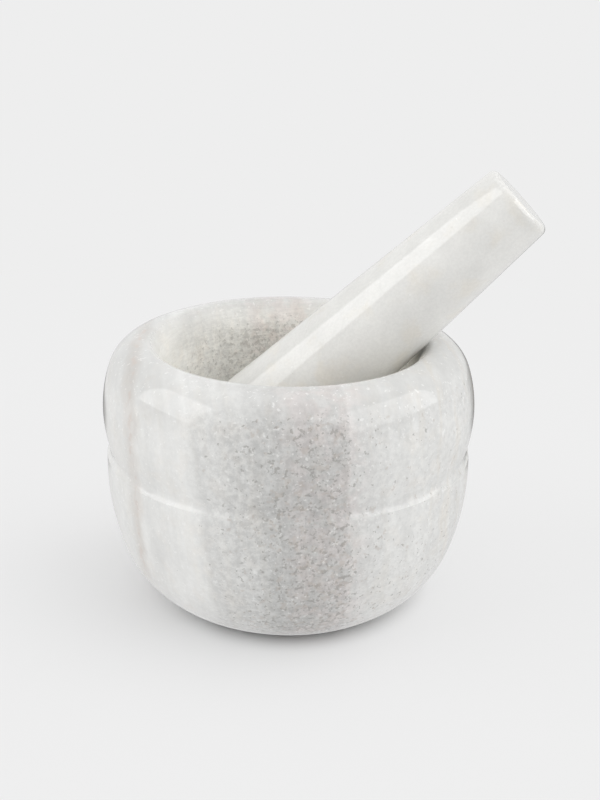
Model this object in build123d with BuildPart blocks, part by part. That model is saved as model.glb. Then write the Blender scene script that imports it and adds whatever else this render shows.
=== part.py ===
from build123d import *
from math import cos, radians, sin, sqrt
import os

# Turned marble mortar with its pestle leaning in the bowl. Millimetres, +Z up.
# The origin is the centre of the mortar's underside.

# Mortar, outside: a foot that turns up into the belly, a groove, the band above it and a shoulder
mortar_height = 86.0
band_radius = 60.0
band_curve = 42.5
shoulder_curve = 12.0
shoulder_angle = 18.7
belly_radius = 59.3
belly_widest_z = 44.4
belly_curve = 76.5
foot_curve = 35.0
foot_turn_angle = 19.3
foot_edge_round = 1.0

# Groove between belly and band: a flank rises inwards from the belly's top edge into a round valley
groove_edge_z = 49.1
groove_flank_angle = 40.0
groove_valley_round = 2.6
groove_edge_round = 0.3

# Mortar, inside: a small lip, a wider curve below it, and a straight wall that runs into a half-sphere
lip_curve = 4.0
lip_turn_angle = 50.0
mouth_curve = 14.0
floor_thickness = 18.0

# Pestle: a round head that tapers along the grip to a flat end
head_radius = 19.0
grip_length = 122.4
grip_taper = 3.1
grip_end_round = 2.2

# How the pestle rests: its head against the bowl's wall, its grip over the rim
rest_gap = 0.3
head_turn = 171.4
head_drop = 32.7
grip_swing = -5.0
grip_lean = 44.4

# Arc centres of the outside, each arc tangent to the next
shoulder_tilt = radians(shoulder_angle)
band_centre_r = band_radius - band_curve
shoulder_centre_r = band_centre_r + (band_curve - shoulder_curve) * cos(shoulder_tilt)
shoulder_centre_z = mortar_height - shoulder_curve
band_centre_z = shoulder_centre_z - (band_curve - shoulder_curve) * sin(shoulder_tilt)

foot_turn = radians(foot_turn_angle)
belly_centre_r = belly_radius - belly_curve
foot_centre_r = belly_centre_r + (belly_curve - foot_curve) * cos(foot_turn)
foot_centre_z = belly_widest_z - (belly_curve - foot_curve) * sin(foot_turn)
foot_radius = foot_centre_r + sqrt(foot_curve**2 - foot_centre_z**2)
foot_turn_point = (
    foot_centre_r + foot_curve * cos(foot_turn),
    foot_centre_z - foot_curve * sin(foot_turn),
)

# Arc centres of the inside, each arc tangent to the next
lip_turn = radians(lip_turn_angle)
lip_centre_z = mortar_height - lip_curve
lip_turn_point = (
    shoulder_centre_r - lip_curve * sin(lip_turn),
    lip_centre_z + lip_curve * cos(lip_turn),
)
mouth_centre_r = shoulder_centre_r + (mouth_curve - lip_curve) * sin(lip_turn)
mouth_centre_z = lip_centre_z - (mouth_curve - lip_curve) * cos(lip_turn)
bowl_radius = mouth_centre_r - mouth_curve
bowl_centre_z = floor_thickness + bowl_radius

# Groove corners: the belly's top edge, and the valley where the flank meets the band's arc
groove_edge_r = belly_centre_r + sqrt(belly_curve**2 - (groove_edge_z - belly_widest_z) ** 2)
groove_flank = radians(groove_flank_angle)
edge_from_centre_r = groove_edge_r - band_centre_r
edge_from_centre_z = groove_edge_z - band_centre_z
along_flank = edge_from_centre_r * cos(groove_flank) - edge_from_centre_z * sin(groove_flank)
off_arc = edge_from_centre_r**2 + edge_from_centre_z**2 - band_curve**2
flank_length = along_flank - sqrt(along_flank**2 - off_arc)
groove_valley_r = groove_edge_r - flank_length * cos(groove_flank)
groove_valley_z = groove_edge_z + flank_length * sin(groove_flank)
shoulder_point = (
    shoulder_centre_r + shoulder_curve * cos(shoulder_tilt),
    shoulder_centre_z + shoulder_curve * sin(shoulder_tilt),
)

os.makedirs("parts", exist_ok=True)

with BuildPart() as mortar:
    with BuildSketch(Plane.XZ):
        with BuildLine():
            # Underside and outside, from the axis up to the rim's crest
            Line((0, 0), (foot_radius, 0))
            RadiusArc((foot_radius, 0), foot_turn_point, -foot_curve)
            RadiusArc(foot_turn_point, (groove_edge_r, groove_edge_z), -belly_curve)
            Line((groove_edge_r, groove_edge_z), (groove_valley_r, groove_valley_z))
            RadiusArc((groove_valley_r, groove_valley_z), shoulder_point, -band_curve)
            RadiusArc(shoulder_point, (shoulder_centre_r, mortar_height), -shoulder_curve)
            # Inside, from the crest down to the bowl's floor
            RadiusArc((shoulder_centre_r, mortar_height), lip_turn_point, -lip_curve)
            RadiusArc(lip_turn_point, (bowl_radius, mouth_centre_z), -mouth_curve)
            Line((bowl_radius, mouth_centre_z), (bowl_radius, bowl_centre_z))
            RadiusArc((bowl_radius, bowl_centre_z), (0, floor_thickness), bowl_radius)
            Line((0, floor_thickness), (0, 0))
        make_face()
    revolve(axis=Axis.Z)
    circles = mortar.edges().filter_by(GeomType.CIRCLE)
    foot_edge = circles.filter_by_position(Axis.Z, -0.01, 0.01).sort_by(SortBy.RADIUS)[-1]
    groove_edge = circles.filter_by_position(Axis.Z, groove_edge_z - 0.01, groove_edge_z + 0.01)
    groove_valley = circles.filter_by_position(Axis.Z, groove_valley_z - 0.01, groove_valley_z + 0.01)
    fillet(foot_edge, foot_edge_round)
    fillet(groove_valley, groove_valley_round)
    fillet(groove_edge, groove_edge_round)

# The head's centre lies on a sphere round the bowl's centre, which leaves the gap at the wall
reach = bowl_radius - head_radius - rest_gap
head_centre = (
    reach * cos(radians(head_drop)) * cos(radians(head_turn)),
    reach * cos(radians(head_drop)) * sin(radians(head_turn)),
    bowl_centre_z - reach * sin(radians(head_drop)),
)
grip_direction = Vector(
    cos(radians(grip_lean)) * cos(radians(grip_swing)),
    cos(radians(grip_lean)) * sin(radians(grip_swing)),
    sin(radians(grip_lean)),
)
# Sketch plane through the pestle's axis: local Y runs along the grip
across = grip_direction.cross(Vector(0, 0, 1)).normalized()
pestle_plane = Plane(origin=head_centre, x_dir=across, z_dir=across.cross(grip_direction))

taper = radians(grip_taper)
grip_start = (head_radius * cos(taper), head_radius * sin(taper))
grip_end_radius = grip_start[0] - (grip_length - grip_start[1]) * sin(taper) / cos(taper)

with BuildPart() as pestle:
    with BuildSketch(pestle_plane):
        with BuildLine():
            RadiusArc((0, -head_radius), grip_start, -head_radius)
            Line(grip_start, (grip_end_radius, grip_length))
            Line((grip_end_radius, grip_length), (0, grip_length))
            Line((0, grip_length), (0, -head_radius))
        make_face()
    revolve(axis=Axis(head_centre, grip_direction))
    fillet(pestle.edges().filter_by(GeomType.CIRCLE).sort_by(Axis.Z)[-1], grip_end_round)

print("foot radius", round(foot_radius, 2), "bowl radius", round(bowl_radius, 2))
print("groove valley", round(groove_valley_r, 2), round(groove_valley_z, 2))
print("grip end radius", round(grip_end_radius, 2))
print("gap between pestle and mortar", round(mortar.part.distance_to(pestle.part), 3))

mortar.part.label = "mortar"
export_step(mortar.part, "parts/mortar.step")
pestle.part.label = "pestle"
export_step(pestle.part, "parts/pestle.step")
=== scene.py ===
from collections import namedtuple
from math import asin, atan2, cos, hypot, pi, radians, sin, sqrt, tan
from random import Random

import bpy
from mathutils import Matrix, Vector, noise


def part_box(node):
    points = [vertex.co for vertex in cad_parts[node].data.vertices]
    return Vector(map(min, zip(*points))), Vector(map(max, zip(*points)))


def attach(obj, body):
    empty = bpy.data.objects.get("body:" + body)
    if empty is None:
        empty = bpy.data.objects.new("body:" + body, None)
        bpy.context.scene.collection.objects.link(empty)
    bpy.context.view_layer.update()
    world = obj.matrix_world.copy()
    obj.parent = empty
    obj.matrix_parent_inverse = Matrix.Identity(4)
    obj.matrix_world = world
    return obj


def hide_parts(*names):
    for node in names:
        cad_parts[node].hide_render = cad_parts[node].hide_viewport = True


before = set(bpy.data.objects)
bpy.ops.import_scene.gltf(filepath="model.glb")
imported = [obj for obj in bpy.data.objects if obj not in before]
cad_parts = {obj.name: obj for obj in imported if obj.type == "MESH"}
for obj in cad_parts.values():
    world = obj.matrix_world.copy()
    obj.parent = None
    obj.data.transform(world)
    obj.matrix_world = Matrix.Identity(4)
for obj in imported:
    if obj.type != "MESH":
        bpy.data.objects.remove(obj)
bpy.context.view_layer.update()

# ---------------------------------------------------------------- sizes, in metres
MM = 0.001
mortar_low, mortar_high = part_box("mortar")
RIM_HEIGHT = mortar_high.z
BAND_RADIUS = (mortar_high.x - mortar_low.x) / 2

# Mortar, outside: the arcs and the groove that the CAD model's outline has
BAND_CURVE = 42.5 * MM
SHOULDER_CURVE = 12.0 * MM
SHOULDER_TILT = radians(18.7)
BELLY_RADIUS = 59.3 * MM
BELLY_WIDEST_Z = 44.4 * MM
BELLY_CURVE = 76.5 * MM
FOOT_CURVE = 35.0 * MM
FOOT_TURN = radians(19.3)
FOOT_EDGE_ROUND = 1.0 * MM
GROOVE_EDGE_Z = 49.1 * MM
GROOVE_FLANK = radians(40.0)
GROOVE_VALLEY_ROUND = 2.6 * MM
GROOVE_EDGE_ROUND = 0.3 * MM

# Mortar, inside
LIP_CURVE = 4.0 * MM
LIP_TURN = radians(50.0)
MOUTH_CURVE = 14.0 * MM
FLOOR_THICKNESS = 18.0 * MM

# Pestle: its own sizes, and how it leans
HEAD_RADIUS = 19.0 * MM
GRIP_LENGTH = 122.4 * MM
GRIP_TAPER = radians(3.1)
GRIP_END_ROUND = 2.2 * MM
REST_GAP = 0.3 * MM
HEAD_TURN = radians(171.4)
HEAD_DROP = radians(32.7)
GRIP_SWING = radians(-5.0)
GRIP_LEAN = radians(44.4)

# Mesh: points round each ring, and the distance between rings
MORTAR_SEGMENTS = 360
PESTLE_SEGMENTS = 200
RING_STEP = 0.9 * MM
FINE_STEP = 0.45 * MM
EDGE_STEP = 0.07 * MM
AXIS_GAP = 3.0 * MM

# Wear: how far the surface lies under the outline, and the size and depth of its shallow hollows
SURFACE_SINK = 0.03 * MM
MORTAR_POLISH = [(19 * MM, 0.10 * MM), (7 * MM, 0.015 * MM)]
PESTLE_POLISH = [(22 * MM, 0.07 * MM), (7 * MM, 0.01 * MM)]
BOWL_PITS = [(3.1 * MM, 0.10 * MM)]
TURNING_RING_DEPTH = 0.05 * MM
TURNING_RING_SCALE = 0.75 * MM
TURNING_RING_WOBBLE = 9 * MM
CHIP_COUNT = 46
CHIP_SIZES = (0.9 * MM, 2.2 * MM)
CHIP_DEPTHS = (0.08 * MM, 0.18 * MM)
CHIP_REACH = 2 * MM

# Camera: where the lens is, where it points and its roll
CAMERA_PLACE = Vector((0.0, -0.3766, 0.2066))
CAMERA_PITCH = radians(20.65)
CAMERA_YAW = radians(0.551)
CAMERA_ROLL = radians(0.774)
LENS_MM = 55.57


# ---------------------------------------------------------------- outlines
def arc(centre, radius, start, end, step):
    """Points about a step apart along an arc of the (r, z) outline, without its last."""
    count = max(3, round(radius * abs(end - start) / step))
    turns = [start + (end - start) * i / count for i in range(count)]
    return [(centre[0] + radius * cos(turn), centre[1] + radius * sin(turn)) for turn in turns]


def straight(start, end, step):
    """Points about a step apart along a straight of the outline, without its last."""
    run, rise = end[0] - start[0], end[1] - start[1]
    count = max(1, round(hypot(run, rise) / step))
    return [(start[0] + run * i / count, start[1] + rise * i / count) for i in range(count)]


def bend(corner, heading_in, heading_out, radius, step):
    """Points of a round at a corner between two headings, both angles, with its last."""
    tangent = radius * tan((heading_out - heading_in) / 2)
    start = (corner[0] - tangent * cos(heading_in), corner[1] - tangent * sin(heading_in))
    centre = (start[0] - radius * sin(heading_in), start[1] + radius * cos(heading_in))
    last = (centre[0] + radius * sin(heading_out), centre[1] - radius * cos(heading_out))
    return arc(centre, radius, heading_in - pi / 2, heading_out - pi / 2, step) + [last]


def crossing(start, heading, centre, radius):
    """Where a line from start first meets a circle."""
    out_r, out_z = start[0] - centre[0], start[1] - centre[1]
    along = -(out_r * cos(heading) + out_z * sin(heading))
    length = along - sqrt(along**2 - (out_r**2 + out_z**2 - radius**2))
    return (start[0] + length * cos(heading), start[1] + length * sin(heading))


# Centres and radii that follow from the sizes
band_centre_r = BAND_RADIUS - BAND_CURVE
shoulder_centre_r = band_centre_r + (BAND_CURVE - SHOULDER_CURVE) * cos(SHOULDER_TILT)
shoulder_centre_z = RIM_HEIGHT - SHOULDER_CURVE
band_centre_z = shoulder_centre_z - (BAND_CURVE - SHOULDER_CURVE) * sin(SHOULDER_TILT)
belly_centre_r = BELLY_RADIUS - BELLY_CURVE
foot_centre_r = belly_centre_r + (BELLY_CURVE - FOOT_CURVE) * cos(FOOT_TURN)
foot_centre_z = BELLY_WIDEST_Z - (BELLY_CURVE - FOOT_CURVE) * sin(FOOT_TURN)
foot_radius = foot_centre_r + sqrt(FOOT_CURVE**2 - foot_centre_z**2)
lip_centre_z = RIM_HEIGHT - LIP_CURVE
mouth_centre_r = shoulder_centre_r + (MOUTH_CURVE - LIP_CURVE) * sin(LIP_TURN)
mouth_centre_z = lip_centre_z - (MOUTH_CURVE - LIP_CURVE) * cos(LIP_TURN)
bowl_radius = mouth_centre_r - MOUTH_CURVE
bowl_centre_z = FLOOR_THICKNESS + bowl_radius
groove_edge_r = belly_centre_r + sqrt(BELLY_CURVE**2 - (GROOVE_EDGE_Z - BELLY_WIDEST_Z) ** 2)

# Over this height, what is nearer the axis than the rim's crest is the inside
inside_z = FLOOR_THICKNESS / 2


def mortar_outline():
    """The outline from the middle of the underside, up the outside and down into the bowl."""
    foot_angle = -asin(foot_centre_z / FOOT_CURVE)
    foot_trim = FOOT_EDGE_ROUND * tan((foot_angle + pi / 2) / 2) / FOOT_CURVE
    foot_start = foot_angle + foot_trim
    edge = (groove_edge_r, GROOVE_EDGE_Z)
    edge_angle = atan2(GROOVE_EDGE_Z - BELLY_WIDEST_Z, groove_edge_r - belly_centre_r)
    flank_heading = pi - GROOVE_FLANK
    belly_heading = edge_angle + pi / 2
    edge_trim = GROOVE_EDGE_ROUND * tan((flank_heading - belly_heading) / 2) / BELLY_CURVE
    belly_end = edge_angle - edge_trim

    # The valley's round touches the flank and the band's arc from outside
    off_flank = (GROOVE_VALLEY_ROUND * sin(GROOVE_FLANK), GROOVE_VALLEY_ROUND * cos(GROOVE_FLANK))
    band_centre = (band_centre_r, band_centre_z)
    beside = (edge[0] + off_flank[0], edge[1] + off_flank[1])
    cove = crossing(beside, flank_heading, band_centre, BAND_CURVE + GROOVE_VALLEY_ROUND)
    band_start = atan2(cove[1] - band_centre_z, cove[0] - band_centre_r)

    points = [(0.0, 0.0)]
    points += straight((AXIS_GAP, 0.0), (foot_radius - FOOT_EDGE_ROUND, 0.0), 3 * RING_STEP)
    points += bend((foot_radius, 0.0), 0.0, foot_angle + pi / 2, FOOT_EDGE_ROUND, EDGE_STEP)
    points += arc((foot_centre_r, foot_centre_z), FOOT_CURVE, foot_start, -FOOT_TURN, RING_STEP)[1:]
    points += arc((belly_centre_r, BELLY_WIDEST_Z), BELLY_CURVE, -FOOT_TURN, belly_end, RING_STEP)
    points += bend(edge, belly_heading, flank_heading, GROOVE_EDGE_ROUND, EDGE_STEP)
    points += arc(cove, GROOVE_VALLEY_ROUND, 1.5 * pi - GROOVE_FLANK, band_start + pi, FINE_STEP / 2)
    points += arc(band_centre, BAND_CURVE, band_start, SHOULDER_TILT, RING_STEP)
    points += arc((shoulder_centre_r, shoulder_centre_z), SHOULDER_CURVE, SHOULDER_TILT, pi / 2, RING_STEP)
    points += arc((shoulder_centre_r, lip_centre_z), LIP_CURVE, pi / 2, pi / 2 + LIP_TURN, FINE_STEP)
    points += arc((mouth_centre_r, mouth_centre_z), MOUTH_CURVE, pi / 2 + LIP_TURN, pi, 1.5 * FINE_STEP)
    points += straight((bowl_radius, mouth_centre_z), (bowl_radius, bowl_centre_z), RING_STEP)
    points += arc((0.0, bowl_centre_z), bowl_radius, 0.0, -pi / 2 + AXIS_GAP / bowl_radius, RING_STEP)
    return points + [(0.0, FLOOR_THICKNESS)]


def pestle_outline():
    """The outline along the pestle's own axis, from the bottom of the head to the middle of the end."""
    side_start = (HEAD_RADIUS * cos(GRIP_TAPER), HEAD_RADIUS * sin(GRIP_TAPER))
    end_r = side_start[0] - (GRIP_LENGTH - side_start[1]) * tan(GRIP_TAPER)
    side_heading = pi / 2 + GRIP_TAPER
    tangent = GRIP_END_ROUND * tan((pi - side_heading) / 2)
    side_end = (end_r + tangent * sin(GRIP_TAPER), GRIP_LENGTH - tangent * cos(GRIP_TAPER))
    points = [(0.0, -HEAD_RADIUS)]
    points += arc((0.0, 0.0), HEAD_RADIUS, AXIS_GAP / HEAD_RADIUS - pi / 2, GRIP_TAPER, RING_STEP)
    points += straight(side_start, side_end, RING_STEP)
    points += bend((end_r, GRIP_LENGTH), side_heading, pi, GRIP_END_ROUND, FINE_STEP / 2)
    points += straight((end_r - tangent, GRIP_LENGTH), (AXIS_GAP, GRIP_LENGTH), RING_STEP)[1:]
    return points + [(0.0, GRIP_LENGTH)]


def pestle_lean():
    """Turns the pestle's own axis, +Z from the head's centre, to how it leans in the bowl."""
    reach = bowl_radius - HEAD_RADIUS - REST_GAP
    head = Vector((
        reach * cos(HEAD_DROP) * cos(HEAD_TURN),
        reach * cos(HEAD_DROP) * sin(HEAD_TURN),
        bowl_centre_z - reach * sin(HEAD_DROP),
    ))
    along = Vector((cos(GRIP_LEAN) * cos(GRIP_SWING), cos(GRIP_LEAN) * sin(GRIP_SWING), sin(GRIP_LEAN)))
    across = along.cross(Vector((0, 0, 1))).normalized()
    turn = Matrix((across, along.cross(across), along)).transposed()
    return Matrix.Translation(head) @ turn.to_4x4()


# ---------------------------------------------------------------- wear
luck = Random(5)
CHIPS = [
    (luck.uniform(0, 2 * pi), luck.uniform(*CHIP_SIZES), luck.uniform(*CHIP_DEPTHS))
    for _ in range(CHIP_COUNT)
]


def hollows(point, sizes_and_depths):
    """How deep the smooth hollows of these sizes and depths are at a point."""
    return sum(depth * (0.5 + 0.5 * noise.noise(point / size)) for size, depth in sizes_and_depths)


def mortar_wear(point, r, z):
    """Hand polish outside, nicks on the groove's edge, and turning rings and pits in the bowl."""
    if r < shoulder_centre_r - LIP_CURVE / 2 and z > inside_z:
        wobble = 2 * noise.noise(point / TURNING_RING_WOBBLE)
        ring = TURNING_RING_DEPTH * (0.5 + 0.5 * sin(z / TURNING_RING_SCALE + wobble))
        return SURFACE_SINK + ring + hollows(point, BOWL_PITS)
    depth = SURFACE_SINK + hollows(point, MORTAR_POLISH)
    if abs(z - GROOVE_EDGE_Z) < CHIP_REACH:
        for turn, size, chip_depth in CHIPS:
            nick = Vector((groove_edge_r * cos(turn), groove_edge_r * sin(turn), GROOVE_EDGE_Z))
            depth += chip_depth * max(0.0, 1 - ((point - nick).length / size) ** 2)
    return depth


def pestle_wear(point, r, z):
    """Hand polish, a little smoother than the mortar's."""
    return SURFACE_SINK + hollows(point, PESTLE_POLISH)


# ---------------------------------------------------------------- meshes
def turned(name, outline, segments, place, wear):
    """A closed mesh turned from an (r, z) outline whose first and last points lie on the axis."""
    rings = outline[1:-1]
    turns = [2 * pi * k / segments for k in range(segments)]
    verts = []
    for before, (r, z), after in zip(outline, rings, outline[2:]):
        out_r, out_z = after[1] - before[1], before[0] - after[0]
        length = hypot(out_r, out_z)
        for turn in turns:
            sink = wear(Vector((r * cos(turn), r * sin(turn), z)), r, z)
            worn_r = r - sink * out_r / length
            worn_z = z - sink * out_z / length
            verts.append(place @ Vector((worn_r * cos(turn), worn_r * sin(turn), worn_z)))
    bottom = len(verts)
    verts.append(place @ Vector((0, 0, outline[0][1] + SURFACE_SINK)))
    verts.append(place @ Vector((0, 0, outline[-1][1] - SURFACE_SINK)))
    top = bottom + 1

    faces = []
    following = list(range(1, segments)) + [0]
    for ring in range(len(rings) - 1):
        low, high = ring * segments, (ring + 1) * segments
        faces += [(low + k, low + n, high + n, high + k) for k, n in enumerate(following)]
    last_ring = (len(rings) - 1) * segments
    faces += [(bottom, n, k) for k, n in enumerate(following)]
    faces += [(top, last_ring + k, last_ring + n) for k, n in enumerate(following)]

    mesh = bpy.data.meshes.new(name)
    mesh.from_pydata(verts, [], faces)
    mesh.validate()
    mesh.shade_smooth()
    piece = bpy.data.objects.new(name, mesh)
    bpy.context.scene.collection.objects.link(piece)
    return piece


# ---------------------------------------------------------------- shader building blocks
# How far over its start level the noise is where a speck shows in full
SPECK_EDGE = 0.055


class Nodes:
    """Adds shader nodes to one tree. An input is a number, a vector, or another node's output."""

    def __init__(self, tree):
        self.tree = tree

    def add(self, kind, inputs, **settings):
        node = self.tree.nodes.new(kind)
        for name, value in settings.items():
            setattr(node, name, value)
        for name, value in inputs.items():
            socket = node.inputs[name]
            if isinstance(value, bpy.types.NodeSocket):
                self.connect(value, socket)
            else:
                socket.default_value = value
        return node

    def connect(self, output, socket):
        self.tree.links.new(output, socket)

    def maths(self, operation, first, second=0.0):
        return self.add("ShaderNodeMath", {0: first, 1: second}, operation=operation).outputs[0]

    def plus(self, first, second):
        return self.maths("ADD", first, second)

    def minus(self, first, second):
        return self.maths("SUBTRACT", first, second)

    def times(self, first, second):
        return self.maths("MULTIPLY", first, second)

    def vector(self, operation, first, second):
        return self.add("ShaderNodeVectorMath", {0: first, 1: second}, operation=operation).outputs[0]

    def dot(self, first, second):
        node = self.add("ShaderNodeVectorMath", {0: first, 1: second}, operation="DOT_PRODUCT")
        return node.outputs["Value"]

    def length(self, place):
        return self.add("ShaderNodeVectorMath", {0: place}, operation="LENGTH").outputs["Value"]

    def blend(self, share, first, second):
        """A number from first, at share 0, to second, at share 1."""
        return self.add("ShaderNodeMix", {0: share, 2: first, 3: second}).outputs[0]

    def between(self, value, low, high, at_low=0.0, at_high=1.0):
        """Eases from at_low to at_high as value goes from low to high."""
        inputs = {"Value": value, "From Min": low, "From Max": high, "To Min": at_low, "To Max": at_high}
        return self.add("ShaderNodeMapRange", inputs, interpolation_type="SMOOTHSTEP").outputs["Result"]

    def profile(self, value, stops):
        """A grey level along value, from (place, level) stops in order."""
        low, high = stops[0][0], stops[-1][0]
        span = {"Value": value, "From Min": low, "From Max": high}
        share = self.add("ShaderNodeMapRange", span).outputs["Result"]
        node = self.add("ShaderNodeValToRGB", {"Fac": share})
        elements = node.color_ramp.elements
        for index, (place, level) in enumerate(stops):
            # A new ramp already has two elements
            element = elements[index] if index < 2 else elements.new(1.0)
            element.position = (place - low) / (high - low)
            element.color = (level, level, level, 1)
        return node.outputs["Color"]

    def noise(self, place, size, **inputs):
        """A noise node whose features are about that size."""
        scaled = self.vector("MULTIPLY", place, (1 / size, 1 / size, 1 / size))
        return self.add("ShaderNodeTexNoise", {"Vector": scaled, "Scale": 1.0, **inputs})

    def cloud(self, place, size, detail=2.0, roughness=0.5):
        """Soft noise around 0.5, with features of about that size."""
        return self.noise(place, size, Detail=detail, Roughness=roughness).outputs["Fac"]

    def specks(self, place, size, start):
        """Small ragged specks where fine noise is over the start level."""
        fine = self.cloud(place, size, 2.0, 0.6)
        return self.between(self.minus(fine, start), 0.0, SPECK_EDGE)

    def moved(self, place, offset):
        """The place moved: by a warp, or by a fixed offset so that patterns made the same way differ."""
        return self.vector("ADD", place, offset)

    def warp(self, place, size, amount):
        """An offset of up to an amount, which bends straight bands."""
        colour = self.noise(place, size, Detail=1.0).outputs["Color"]
        centred = self.vector("SUBTRACT", colour, (0.5, 0.5, 0.5))
        return self.vector("MULTIPLY", centred, (2 * amount, 2 * amount, 2 * amount))

    def laid_over(self, under, colour, share, kind="MIX"):
        """A colour laid over another by a share."""
        inputs = {0: share, 6: under, 7: colour}
        return self.add("ShaderNodeMix", inputs, data_type="RGBA", blend_type=kind).outputs[2]

    def toned(self, colour, tone, share=1.0):
        """A colour multiplied by a tone, by a share."""
        return self.laid_over(colour, tone, share, "MULTIPLY")

    def dimmed(self, colour, level, share=1.0):
        """A colour multiplied by a number, by a share."""
        grey = {"Red": level, "Green": level, "Blue": level}
        return self.toned(colour, self.add("ShaderNodeCombineColor", grey).outputs[0], share)


def new_material(name):
    material = bpy.data.materials.new(name)
    material.use_nodes = True
    return material, Nodes(material.node_tree), material.node_tree.nodes["Principled BSDF"]


def place_in_mm(nodes):
    """The place on the piece, in millimetres, so that every size in the marble is in millimetres."""
    place = nodes.add("ShaderNodeTexCoord", {}).outputs["Object"]
    return nodes.vector("MULTIPLY", place, (1 / MM, 1 / MM, 1 / MM))


# ---------------------------------------------------------------- marble of the mortar
# Along the bedding, which is the distance across the stone's layers: how light they are, the noise level
# where specks start, how strong the grain is, and how far the shoulder gets painted shade
# How light the layers are; the last stops darken the mortar's right side as painted shade
LAYER_TONE_AND_RIGHT_SHADE = [
    (-60, 0.93), (-50, 0.94), (-42, 1.0), (-35.4, 1.0), (-33.6, 0.90), (-26, 0.875),
    (-20, 0.81), (-14, 0.73), (-8, 0.70), (2, 0.725), (7.4, 0.74), (8.4, 0.85),
    (14, 0.91), (20, 0.955), (34, 0.94), (42, 0.89), (60, 0.80),
]
SPECK_START = [
    (-60, 0.76), (-38, 0.76), (-30, 0.66), (-20, 0.62), (-10, 0.57),
    (7.5, 0.57), (9, 0.63), (22, 0.66), (60, 0.67),
]
GRAIN_STRENGTH = [
    (-60, 0.2), (-38, 0.2), (-30, 0.8), (-12, 1.3), (7.5, 1.3), (9, 0.7), (24, 0.45), (60, 0.55),
]
SHOULDER_SHADE = [(-60, 1.0), (-38, 1.0), (-34, 0.1), (7, 0.0), (14, 0.75), (36, 0.75), (46, 0.2), (60, 0.2)]

# The layers and the vein: the direction across each, and the distance along it where its zero lies
LAYERS_ACROSS = (1.0, 0.13, 0.03)
LAYERS_START = 3.8
FAN_MIDDLE = 50.0
FAN_SPREAD = 0.07
CORE_BEDDING = 1.0
VEIN_ACROSS = (1.0, 0.0, 0.04)
VEIN_START = -44.2

# Colours of the stone, and tones that multiply them, among them painted shade and painted bounce light
WHITE = (1.0, 1.0, 1.0, 1)
MORTAR_STONE = (0.80, 0.80, 0.785, 1)
DARK_SPECK = (0.31, 0.295, 0.275, 1)
BROWN_SPECK = (0.52, 0.46, 0.41, 1)
PALE_FLECK = (0.93, 0.93, 0.92, 1)
VEIN_LINE = (0.60, 0.50, 0.44, 1)
VEIN_TONE = (0.90, 0.87, 0.85, 1)
SHADE_TONE = (0.85, 0.85, 0.85, 1)
BEIGE_TONE = (1.0, 0.975, 0.94, 1)
ROSY_TONE = (1.035, 0.992, 0.99, 1)
WARM_TONE = (1.005, 0.985, 0.965, 1)
BOWL_BOUNCE_LIGHT_AND_WARMTH = (1.13, 1.12, 1.09, 1)
MOUTH_PAINTED_SHADE = (0.82, 0.82, 0.82, 1)

MORTAR_IOR = 1.42
POLISH_RELIEF = 0.004

# What the mortar's shader works from: the place and its Y and height, how far it is under the rim, the angle
# round the mortar, the bedding, and how far the place belongs to the ground bowl
Spot = namedtuple("Spot", "place y height under_rim angle bedding bowl")


def mortar_spot(nodes):
    """The layers are nearly square to X, slightly bent, and fan out towards the left."""
    place = place_in_mm(nodes)
    axes = nodes.add("ShaderNodeSeparateXYZ", {"Vector": place}).outputs
    height = axes["Z"]
    under_rim = nodes.minus(RIM_HEIGHT / MM, height)
    bent = nodes.moved(nodes.moved(place, nodes.warp(place, 14, 1.6)), nodes.warp(place, 3, 0.5))
    across = nodes.minus(nodes.dot(bent, LAYERS_ACROSS), LAYERS_START)
    fan = nodes.times(nodes.minus(height, FAN_MIDDLE), nodes.between(across, 0.0, -28.0, 0.0, FAN_SPREAD))
    bedding = nodes.plus(across, fan)
    angle = nodes.maths("ARCTAN2", axes["Y"], axes["X"])
    bowl = nodes.add("ShaderNodeAttribute", {}, attribute_name="bowl").outputs["Fac"]
    return Spot(place, axes["Y"], height, under_rim, angle, bedding, bowl)


def layered_stone(nodes, spot):
    """The layers, faded towards white as painted light on the up-facing rim and as painted bounce light
    in the ground bowl. Painted shade dims the rim's crest, the shoulder and the top of the bowl's left
    wall, which gets lighter downwards."""
    # Painted light: the layers fade towards white near the up-facing rim, and as painted bounce light in the
    # bowl
    near_rim = nodes.between(spot.under_rim, 18.0, 0.0, 0.0, 0.24)
    painted_light_fade = nodes.maths("MAXIMUM", nodes.times(spot.bowl, 0.9), near_rim)
    light = nodes.laid_over(nodes.profile(spot.bedding, LAYER_TONE_AND_RIGHT_SHADE), WHITE, painted_light_fade)
    # Painted shade on the rim's crest
    light = nodes.dimmed(light, nodes.between(spot.under_rim, 7.0, 0.5, 1.0, 0.95))
    shade = nodes.times(nodes.profile(spot.bedding, SHOULDER_SHADE), nodes.minus(1.0, spot.bowl))
    shade = nodes.times(shade, nodes.between(spot.under_rim, 16.0, 3.0))
    light = nodes.toned(light, SHADE_TONE, shade)
    colour = nodes.toned(MORTAR_STONE, light)
    # Painted shade on the top of the bowl's left wall, and slightly lighter lower down
    left_wall_shade = nodes.times(spot.bowl, nodes.between(spot.bedding, -27.0, -31.0))
    return nodes.dimmed(colour, nodes.between(spot.under_rim, 18.0, 6.0, 1.02, 0.95), left_wall_shade)


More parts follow.
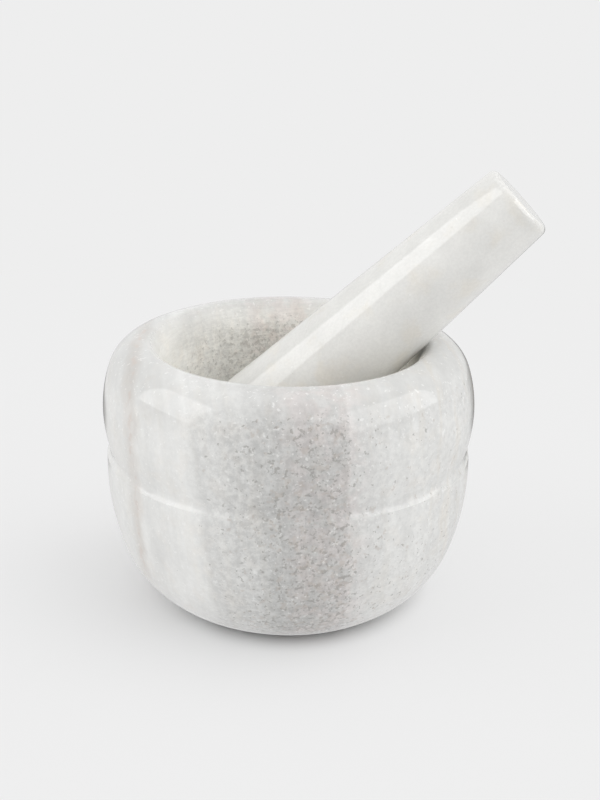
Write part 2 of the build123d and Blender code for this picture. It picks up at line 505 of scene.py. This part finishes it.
def banded(nodes, spot, colour):
    """Thin bands along the layers, beige ones on the right, and rosy patches in the dark layer."""
    stretched = {"X": spot.bedding, "Y": nodes.times(spot.y, 0.15), "Z": nodes.times(spot.height, 0.10)}
    along = nodes.add("ShaderNodeCombineXYZ", stretched).outputs[0]
    colour = nodes.dimmed(colour, nodes.between(nodes.cloud(along, 4.5, 4.0, 0.65), 0.3, 0.7, 0.955, 1.035))
    beige = nodes.between(nodes.cloud(nodes.moved(along, (13, 2, 7)), 3.5, 3.0), 0.5, 0.66)
    beige = nodes.times(beige, nodes.between(spot.bedding, 20.0, 45.0, 0.25, 1.0))
    colour = nodes.toned(colour, BEIGE_TONE, beige)
    off_core = nodes.maths("ABSOLUTE", nodes.minus(spot.bedding, CORE_BEDDING))
    patches = nodes.between(nodes.cloud(spot.place, 5, 3.0), 0.38, 0.62, 0.2, 1.3)
    rosy = nodes.times(nodes.between(off_core, 4.0, 16.0, 1.0, 0.0), patches)
    return nodes.toned(colour, ROSY_TONE, rosy)


def clouded(nodes, spot, colour):
    """Soft clouds, and warm patches."""
    cloud = nodes.between(nodes.cloud(spot.place, 9, 4.0, 0.6), 0.3, 0.7, 0.97, 1.02)
    warm = nodes.between(nodes.cloud(nodes.moved(spot.place, (40, 9, 3)), 7, 3.0), 0.5, 0.7, 0.0, 0.6)
    return nodes.toned(nodes.dimmed(colour, cloud), WARM_TONE, warm)


def grained(nodes, spot, colour):
    """Crystal grain, fainter near the rim."""
    near_rim = nodes.between(spot.under_rim, 10.0, 2.0, 1.0, 0.35)
    strength = nodes.times(nodes.profile(spot.bedding, GRAIN_STRENGTH), near_rim)
    grain = nodes.between(nodes.cloud(spot.place, 1.9, 3.0, 0.7), 0.32, 0.68, 0.88, 1.10)
    return nodes.dimmed(colour, grain, strength)


def speck_start(nodes, spot):
    """The noise level where specks start: lower low down and in the lower bowl, high on the rim."""
    gathering = nodes.between(nodes.cloud(spot.place, 6, 2.0), 0.3, 0.7, 0.022, -0.022)
    upwards = nodes.between(spot.under_rim, 71.0, 11.0, -0.02, 0.012)
    on_rim = nodes.between(spot.under_rim, 8.0, 1.0, 0.0, 0.15)
    lower_bowl = nodes.times(spot.bowl, nodes.between(spot.under_rim, 7.0, 12.0, 0.0, 0.07))
    start = nodes.plus(nodes.profile(spot.bedding, SPECK_START), gathering)
    start = nodes.plus(nodes.plus(start, upwards), on_rim)
    return nodes.minus(start, lower_bowl)


def speckled(nodes, spot, colour, start, dark):
    """Dark and brown specks, weaker in the bowl, and pale flecks."""
    dark_share = nodes.times(dark, nodes.between(spot.bowl, 0.0, 1.0, 0.56, 0.34))
    colour = nodes.laid_over(colour, DARK_SPECK, dark_share)
    brown = nodes.specks(nodes.moved(spot.place, (7, 3, 5)), 2.3, start)
    brown_share = nodes.times(brown, nodes.between(spot.bowl, 0.0, 1.0, 0.34, 0.15))
    colour = nodes.laid_over(colour, BROWN_SPECK, brown_share)
    flecks = nodes.specks(nodes.moved(spot.place, (1, 8, 2)), 1.4, 0.63)
    return nodes.laid_over(colour, PALE_FLECK, nodes.times(flecks, 0.4))


def veined(nodes, spot, colour):
    """A thin broken brown vein on the left, in a faint warm band."""
    bent = nodes.moved(spot.place, nodes.warp(spot.place, 9, 2.0))
    across = nodes.dot(bent, VEIN_ACROSS)
    off_vein = nodes.maths("ABSOLUTE", nodes.minus(across, VEIN_START))
    colour = nodes.toned(colour, VEIN_TONE, nodes.between(off_vein, 0.8, 3.4, 0.8, 0.0))
    broken = nodes.between(nodes.cloud(spot.place, 3.0, 3.0), 0.45, 0.62, 0.0, 0.42)
    line = nodes.times(nodes.between(off_vein, 0.0, 1.3, 1.0, 0.0), broken)
    return nodes.laid_over(colour, VEIN_LINE, line)


def ground_bowl(nodes, spot, colour, marks):
    """The ground bowl, lighter as painted bounce light and warmer, darker by its mouth as painted shade, with
    turning marks.
    """
    # Painted shade by the bowl's mouth, strongest on the left
    mouth = nodes.between(spot.under_rim, 13.0, 5.5)
    mouth = nodes.times(mouth, nodes.between(spot.bedding, -28.0, -12.0, 1.0, 0.15))
    mouth = nodes.times(mouth, nodes.between(spot.bedding, -39.0, -30.0, 0.4, 1.0))
    # Painted bounce light and warmth over the whole bowl, then the painted shade by its mouth
    rough = nodes.toned(nodes.toned(colour, BOWL_BOUNCE_LIGHT_AND_WARMTH), MOUTH_PAINTED_SHADE, mouth)
    rough = nodes.dimmed(rough, nodes.between(marks, 0.3, 0.7, 0.93, 1.05))
    return nodes.laid_over(colour, rough, spot.bowl)


def mortar_marble():
    """Bedded marble with a dark speckled layer, polished outside and ground in the bowl."""
    material, nodes, shader = new_material("mortar_marble")
    spot = mortar_spot(nodes)
    start = speck_start(nodes, spot)
    dark = nodes.specks(spot.place, 1.4, start)
    turning = {"X": nodes.times(spot.angle, 5.0), "Z": spot.height}
    marks = nodes.cloud(nodes.add("ShaderNodeCombineXYZ", turning).outputs[0], 0.8, 3.0, 0.7)

    colour = layered_stone(nodes, spot)
    colour = banded(nodes, spot, colour)
    colour = clouded(nodes, spot, colour)
    colour = grained(nodes, spot, colour)
    colour = speckled(nodes, spot, colour, start, dark)
    colour = veined(nodes, spot, colour)
    colour = ground_bowl(nodes, spot, colour, marks)
    nodes.connect(colour, shader.inputs["Base Color"])

    polished = nodes.between(nodes.cloud(spot.place, 5, 3.0), 0.35, 0.65, 0.03, 0.07)
    matte = nodes.between(nodes.cloud(spot.place, 1.2, 2.0), 0.3, 0.7, 0.5, 0.66)
    nodes.connect(nodes.blend(spot.bowl, polished, matte), shader.inputs["Roughness"])

    # Relief in millimetres: pits where the dark specks are, turning marks and a rough grain in the bowl
    rough = nodes.times(nodes.plus(marks, nodes.cloud(spot.place, 0.8, 3.0, 0.6)), spot.bowl)
    relief = nodes.minus(nodes.times(rough, 0.07), nodes.times(dark, 0.01))
    relief = nodes.plus(relief, nodes.times(nodes.cloud(spot.place, 2.2, 2.0), POLISH_RELIEF))
    bump = nodes.add("ShaderNodeBump", {"Height": relief, "Strength": 1.0, "Distance": 1.0 * MM})
    nodes.connect(bump.outputs[0], shader.inputs["Normal"])
    shader.inputs["IOR"].default_value = MORTAR_IOR
    return material


# ---------------------------------------------------------------- marble of the pestle
PESTLE_STONE = (0.815, 0.81, 0.785, 1)
PESTLE_WARM_TONE = (0.99, 0.965, 0.925, 1)
PESTLE_SPECK = (0.4, 0.37, 0.34, 1)
PESTLE_IOR = 1.56

# The way that the pestle's upper side faces, square to its axis, and how far along that way its axis lies,
# for the painted shade on that side
PESTLE_UPWARDS = pestle_lean().to_3x3() @ Vector((0.0, -1.0, 0.0))
PESTLE_AXIS_HEIGHT = PESTLE_UPWARDS.dot(pestle_lean().translation) / MM


def pestle_marble():
    """Clouded marble in layers along the pestle, with painted shade that darkens its upper side."""
    material, nodes, shader = new_material("pestle_marble")
    place = place_in_mm(nodes)
    bent = nodes.moved(place, nodes.warp(place, 12, 4.0))
    upwards = nodes.minus(nodes.dot(bent, PESTLE_UPWARDS), PESTLE_AXIS_HEIGHT)
    # Painted shade: the upper side, which the left softbox lights, is darker
    upper_side_shade = nodes.between(upwards, 4.0, 16.0, 1.0, 0.87)
    cloud = nodes.between(nodes.cloud(bent, 17, 4.0, 0.5), 0.3, 0.7, 0.94, 1.03)
    colour = nodes.dimmed(PESTLE_STONE, nodes.times(cloud, upper_side_shade))
    warm = nodes.between(nodes.cloud(nodes.moved(bent, (5, 31, 12)), 9, 3.0), 0.48, 0.7, 0.0, 0.8)
    colour = nodes.toned(colour, PESTLE_WARM_TONE, warm)
    grain = nodes.between(nodes.cloud(place, 0.9, 3.0, 0.65), 0.32, 0.68, 0.965, 1.02)
    colour = nodes.dimmed(colour, grain)
    specks = nodes.specks(place, 1.2, 0.73)
    colour = nodes.laid_over(colour, PESTLE_SPECK, nodes.times(specks, 0.4))
    flecks = nodes.specks(nodes.moved(place, (3, 5, 9)), 1.6, 0.70)
    colour = nodes.laid_over(colour, PALE_FLECK, nodes.times(flecks, 0.45))
    nodes.connect(colour, shader.inputs["Base Color"])

    roughness = nodes.between(nodes.cloud(place, 5, 3.0), 0.35, 0.65, 0.02, 0.045)
    nodes.connect(roughness, shader.inputs["Roughness"])
    relief = nodes.times(nodes.cloud(place, 2.2, 2.0), POLISH_RELIEF)
    relief = nodes.minus(relief, nodes.times(specks, 0.03))
    bump = nodes.add("ShaderNodeBump", {"Height": relief, "Strength": 1.0, "Distance": 1.0 * MM})
    nodes.connect(bump.outputs[0], shader.inputs["Normal"])
    shader.inputs["IOR"].default_value = PESTLE_IOR
    return material


# ---------------------------------------------------------------- pieces
def mark_bowl(piece):
    """Marks how far each point belongs to the ground bowl: nothing at the rim's crest, all below the lip."""
    marks = piece.data.attributes.new("bowl", "FLOAT", "POINT")
    polished_r = shoulder_centre_r
    matte_r = bowl_radius + 1.0 * MM
    for vertex, mark in zip(piece.data.vertices, marks.data):
        r = hypot(vertex.co.x, vertex.co.y)
        share = (polished_r - r) / (polished_r - matte_r)
        mark.value = min(1.0, max(0.0, share)) if vertex.co.z > inside_z else 0.0


mortar = turned("marble_mortar", mortar_outline(), MORTAR_SEGMENTS, Matrix.Identity(4), mortar_wear)
mark_bowl(mortar)
mortar.data.materials.append(mortar_marble())
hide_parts("mortar")
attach(mortar, "mortar")

pestle = turned("marble_pestle", pestle_outline(), PESTLE_SEGMENTS, pestle_lean(), pestle_wear)
pestle.data.materials.append(pestle_marble())
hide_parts("pestle")
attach(pestle, "pestle")

# ---------------------------------------------------------------- floor
FLOOR_HALF = 12.0
FLOOR_COLOUR = 0.745
FLOOR_BLUE = 1.004
BACKDROP_LIGHT = 0.855
SHADOW_CENTRE = (-0.045, 0.0, 0.0)
floor_mesh = bpy.data.meshes.new("floor")
corners = [(x * FLOOR_HALF, y * FLOOR_HALF, 0) for x, y in ((-1, -1), (1, -1), (1, 1), (-1, 1))]
floor_mesh.from_pydata(corners, [], [(0, 1, 2, 3)])
floor = bpy.data.objects.new("floor", floor_mesh)
bpy.context.scene.collection.objects.link(floor)

# Polished stone reflects the room's own floor instead
floor.visible_glossy = False


def floor_paper():
    """Pale paper near the object, which fades into an evenly lit backdrop, soonest at the front and right."""
    material, nodes, shader = new_material("floor_paper")
    nodes.tree.nodes.remove(shader)
    place = nodes.add("ShaderNodeTexCoord", {}).outputs["Object"]
    from_middle = nodes.length(place)
    from_shadow = nodes.length(nodes.vector("SUBTRACT", place, SHADOW_CENTRE))
    near = nodes.between(from_shadow, 0.02, 0.105, 0.26, 0.78)
    near = nodes.times(near, nodes.between(from_middle, foot_radius + 1 * MM, foot_radius + 11 * MM))
    fade = nodes.plus(near, nodes.between(from_shadow, 0.105, 0.42, 0.0, 0.22))
    colour = (FLOOR_COLOUR, FLOOR_COLOUR, FLOOR_COLOUR * FLOOR_BLUE, 1)
    paper = nodes.add("ShaderNodeBsdfDiffuse", {"Color": colour})
    even = nodes.add("ShaderNodeEmission", {"Color": WHITE, "Strength": BACKDROP_LIGHT})
    mixed = nodes.add("ShaderNodeMixShader", {0: fade, 1: paper.outputs[0], 2: even.outputs[0]})
    nodes.connect(mixed.outputs[0], nodes.tree.nodes["Material Output"].inputs["Surface"])
    return material


floor.data.materials.append(floor_paper())

# ---------------------------------------------------------------- light
LIGHT_DISTANCE = 2.2
SHINE_DISTANCE = 2.0
SOFTBOX_TARGET = Vector((0.0, 0.0, 0.06))


def softbox(name, use, azimuth, elevation, half_width, half_height, radiance):
    """A soft panel that faces the object, sized by its half angles, in degrees. Azimuth 0 is the camera's
    side, and 90 is +X. Its use is "light", on dull surfaces only, or "shine", in polished ones only."""
    turn, lift = radians(azimuth), radians(elevation)
    towards = Vector((sin(turn) * cos(lift), -cos(turn) * cos(lift), sin(lift)))
    distance = LIGHT_DISTANCE if use == "light" else SHINE_DISTANCE
    data = bpy.data.lights.new(name + "_" + use, "AREA")
    data.shape = "RECTANGLE"
    data.size = 2 * distance * tan(radians(half_width))
    data.size_y = 2 * distance * tan(radians(half_height))
    data.energy = radiance * pi * data.size * data.size_y
    lamp = bpy.data.objects.new(name + "_" + use, data)
    lamp.location = SOFTBOX_TARGET + towards * distance
    lamp.rotation_euler = towards.to_track_quat("Z", "Y").to_euler()
    lamp.visible_camera = False
    lamp.visible_diffuse = use == "light"
    lamp.visible_glossy = use == "shine"
    bpy.context.scene.collection.objects.link(lamp)


softbox("softbox_left", "light", azimuth=-80, elevation=28, half_width=22, half_height=21, radiance=2.0)
softbox("softbox_left", "shine", azimuth=-80, elevation=28, half_width=22, half_height=21, radiance=2.1)
softbox("softbox_right", "light", azimuth=80, elevation=30, half_width=42, half_height=21, radiance=1.25)
softbox("softbox_right", "shine", azimuth=69, elevation=30, half_width=33, half_height=21, radiance=2.3)
softbox("softbox_top", "light", azimuth=180, elevation=85, half_width=30, half_height=28, radiance=0.65)
softbox("softbox_top", "shine", azimuth=180, elevation=85, half_width=30, half_height=28, radiance=0.5)

# How bright the room is, by direction. Its floor shows only in reflections, which don't see the paper
FRONT_ROOM = 0.60
BACK_WALL = 0.78
ROOM_FLOOR = 0.73
FAR_EDGE = 0.12


def studio_world():
    """A dim room in front, a bright wall behind, and a pale floor with a dark far edge. The camera sees an
    even backdrop instead."""
    made = bpy.data.worlds.new("studio")
    made.use_nodes = True
    made.node_tree.nodes.clear()
    nodes = Nodes(made.node_tree)
    way = nodes.add("ShaderNodeTexCoord", {}).outputs["Generated"]
    axes = nodes.add("ShaderNodeSeparateXYZ", {"Vector": way}).outputs
    walls = nodes.between(axes["Y"], -0.6, 0.6, FRONT_ROOM, BACK_WALL)
    walls = nodes.plus(walls, nodes.between(axes["Y"], 0.75, 0.95, 0.0, BACKDROP_LIGHT - BACK_WALL))

    # The far edge is a dark strip behind, that lies lower on the left
    behind = nodes.between(axes["Y"], 0.74, 0.86)
    over_near_side = nodes.between(axes["Z"], -0.42, -0.34)
    tilted = nodes.plus(axes["Z"], nodes.between(axes["X"], 0.1, -0.1, 0.0, 0.16))
    under_far_side = nodes.between(tilted, -0.11, -0.17)
    far_edge = nodes.times(behind, nodes.times(over_near_side, under_far_side))
    below = nodes.between(far_edge, 0.0, 1.0, ROOM_FLOOR, FAR_EDGE)

    light = nodes.blend(nodes.between(axes["Z"], 0.0, -0.03), walls, below)
    rays = nodes.add("ShaderNodeLightPath", {}).outputs
    seen = nodes.blend(rays["Is Camera Ray"], light, BACKDROP_LIGHT)
    backdrop = nodes.add("ShaderNodeBackground", {"Color": WHITE, "Strength": seen})
    nodes.add("ShaderNodeOutputWorld", {"Surface": backdrop.outputs[0]})
    return made


bpy.context.scene.world = studio_world()

# ---------------------------------------------------------------- camera
ahead = Vector((
    cos(CAMERA_PITCH) * sin(CAMERA_YAW),
    cos(CAMERA_PITCH) * cos(CAMERA_YAW),
    -sin(CAMERA_PITCH),
))
level = ahead.cross(Vector((0, 0, 1))).normalized()
above = level.cross(ahead)
side = cos(CAMERA_ROLL) * level + sin(CAMERA_ROLL) * above
top = cos(CAMERA_ROLL) * above - sin(CAMERA_ROLL) * level
camera_data = bpy.data.cameras.new("camera")
camera_data.sensor_width = 36.0
camera_data.lens = LENS_MM
camera_data.clip_start = 0.01
camera_data.clip_end = 100
camera = bpy.data.objects.new("camera", camera_data)
camera.matrix_world = Matrix.Translation(CAMERA_PLACE) @ Matrix((side, top, -ahead)).transposed().to_4x4()
bpy.context.scene.collection.objects.link(camera)
bpy.context.scene.camera = camera

bpy.context.scene.view_settings.view_transform = "Standard"
bpy.context.scene.view_settings.look = "None"
